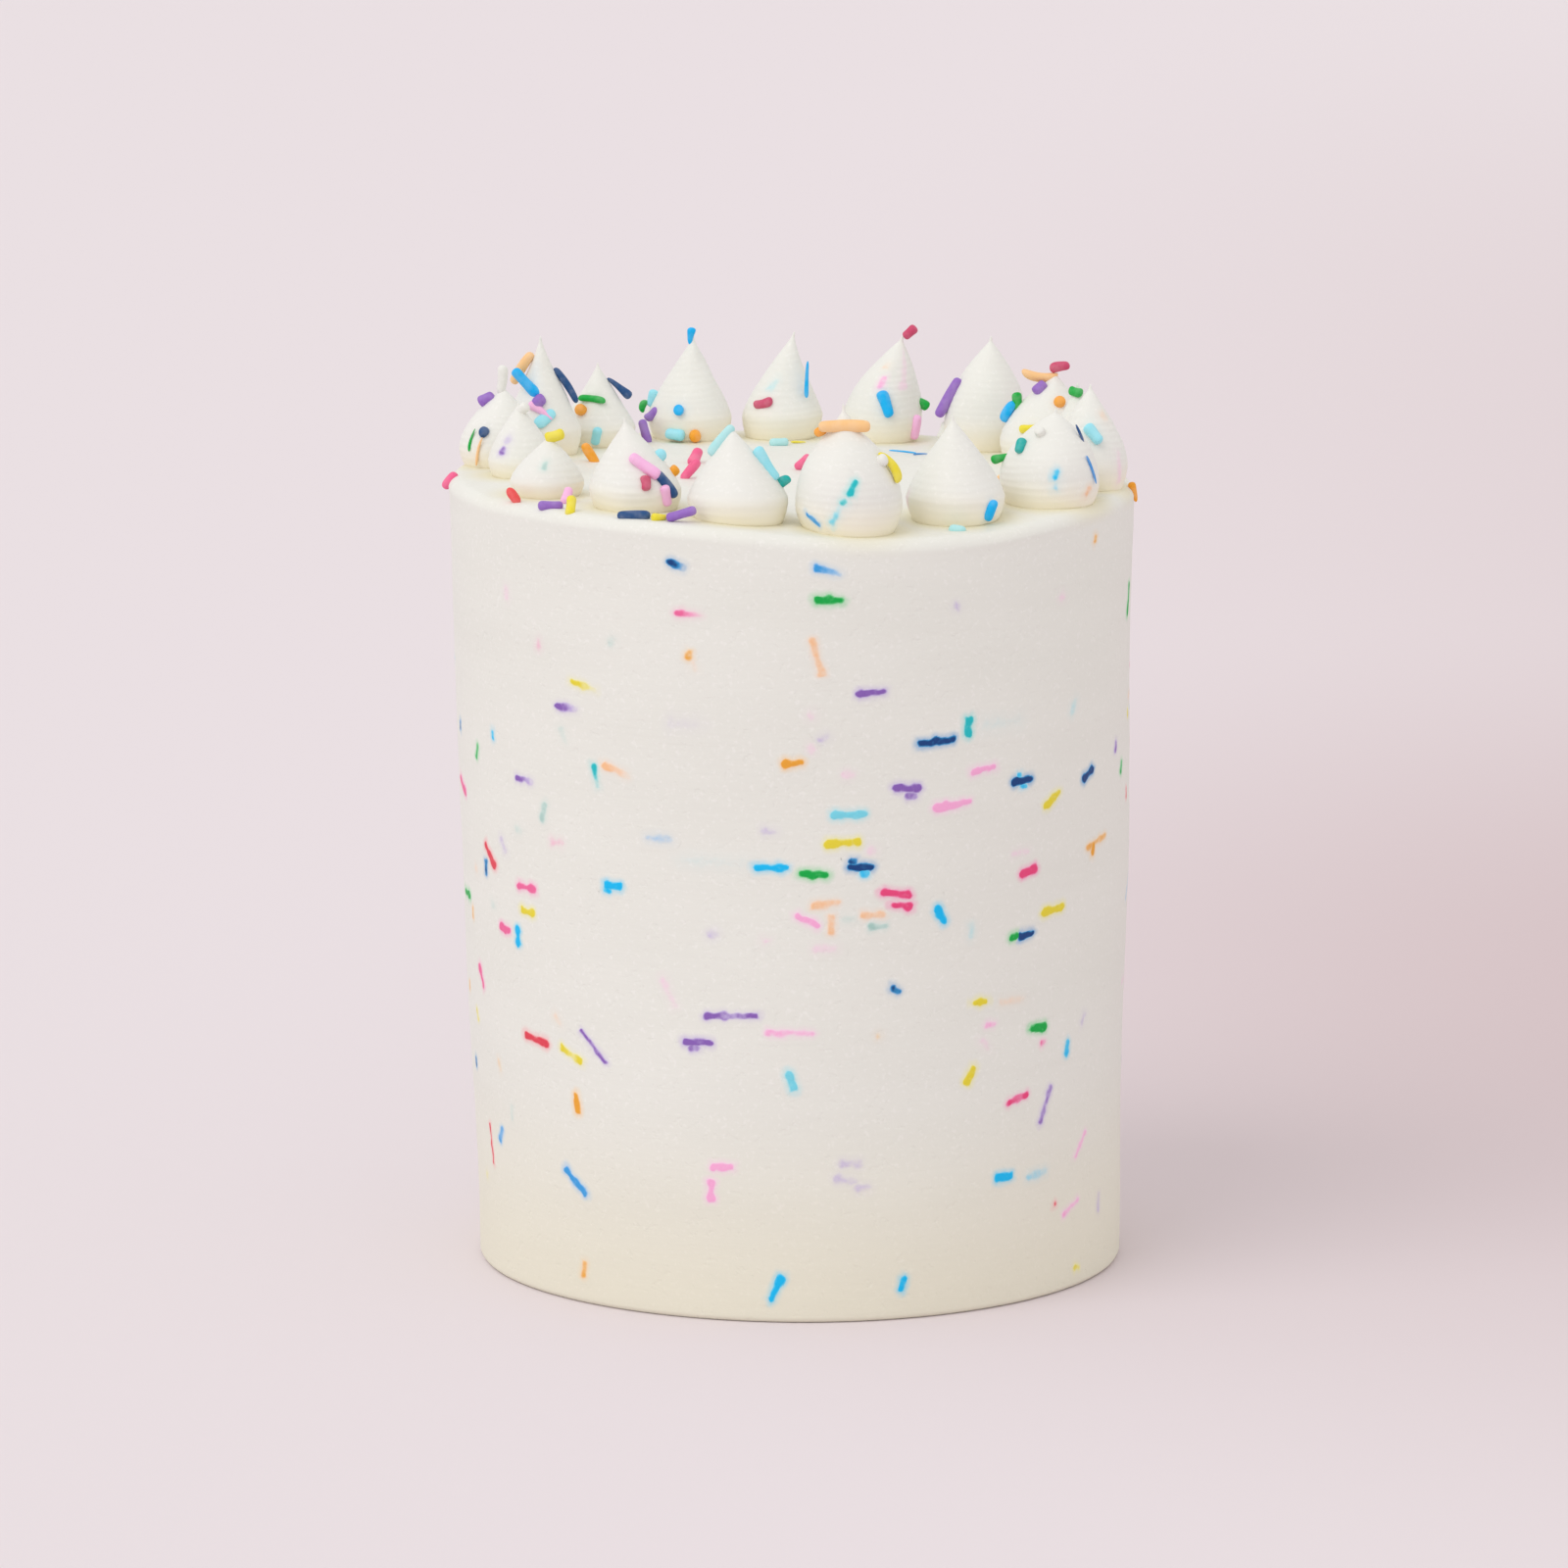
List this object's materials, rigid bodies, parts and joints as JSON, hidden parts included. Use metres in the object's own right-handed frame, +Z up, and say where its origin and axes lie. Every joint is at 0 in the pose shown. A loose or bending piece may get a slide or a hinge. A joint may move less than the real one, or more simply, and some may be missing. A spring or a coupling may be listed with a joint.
{
  "type": "celebration cake",
  "caption": "Tall round layer cake in pale buttercream flecked with coloured sugar sprinkles, its top ringed with pointed piped kisses; party food that stands flat.",
  "frame": {"origin": "middle of the foot, on the surface the cake stands on, under the middle of its top", "axes": "+Z up; the front shown in the picture faces -Y; +X to the right as seen from the front"},
  "size_m": [0.1744, 0.172, 0.2281],
  "materials": {
    "scraped_buttercream": "satin, scraped smooth, faintly pitted, stained by the sprinkles under its surface",
    "piped_buttercream": "satin, soft piped creases",
    "sprinkle_bright_blue": "satin sugar",
    "sprinkle_mid_blue": "satin sugar",
    "sprinkle_navy": "satin sugar",
    "sprinkle_purple": "satin sugar",
    "sprinkle_light_pink": "satin sugar",
    "sprinkle_hot_pink": "satin sugar",
    "sprinkle_crimson": "satin sugar",
    "sprinkle_red": "satin sugar",
    "sprinkle_orange": "satin sugar",
    "sprinkle_peach": "satin sugar",
    "sprinkle_yellow": "satin sugar",
    "sprinkle_green": "satin sugar",
    "sprinkle_teal": "satin sugar",
    "sprinkle_cyan": "satin sugar",
    "sprinkle_mint": "satin sugar"
  },
  "bodies": {
    "root": {"iced_cake": "scraped_buttercream", "kiss_01": "piped_buttercream", "kiss_02": "piped_buttercream", "kiss_03": "piped_buttercream", "kiss_04": "piped_buttercream", "kiss_05": "piped_buttercream", "kiss_06": "piped_buttercream", "kiss_07": "piped_buttercream", "kiss_08": "piped_buttercream", "kiss_09": "piped_buttercream", "kiss_10": "piped_buttercream", "kiss_11": "piped_buttercream", "kiss_12": "piped_buttercream", "kiss_13": "piped_buttercream", "kiss_14": "piped_buttercream", "kiss_15": "piped_buttercream", "kiss_16": "piped_buttercream", "kiss_17": "piped_buttercream"}
  },
  "joints": []
}
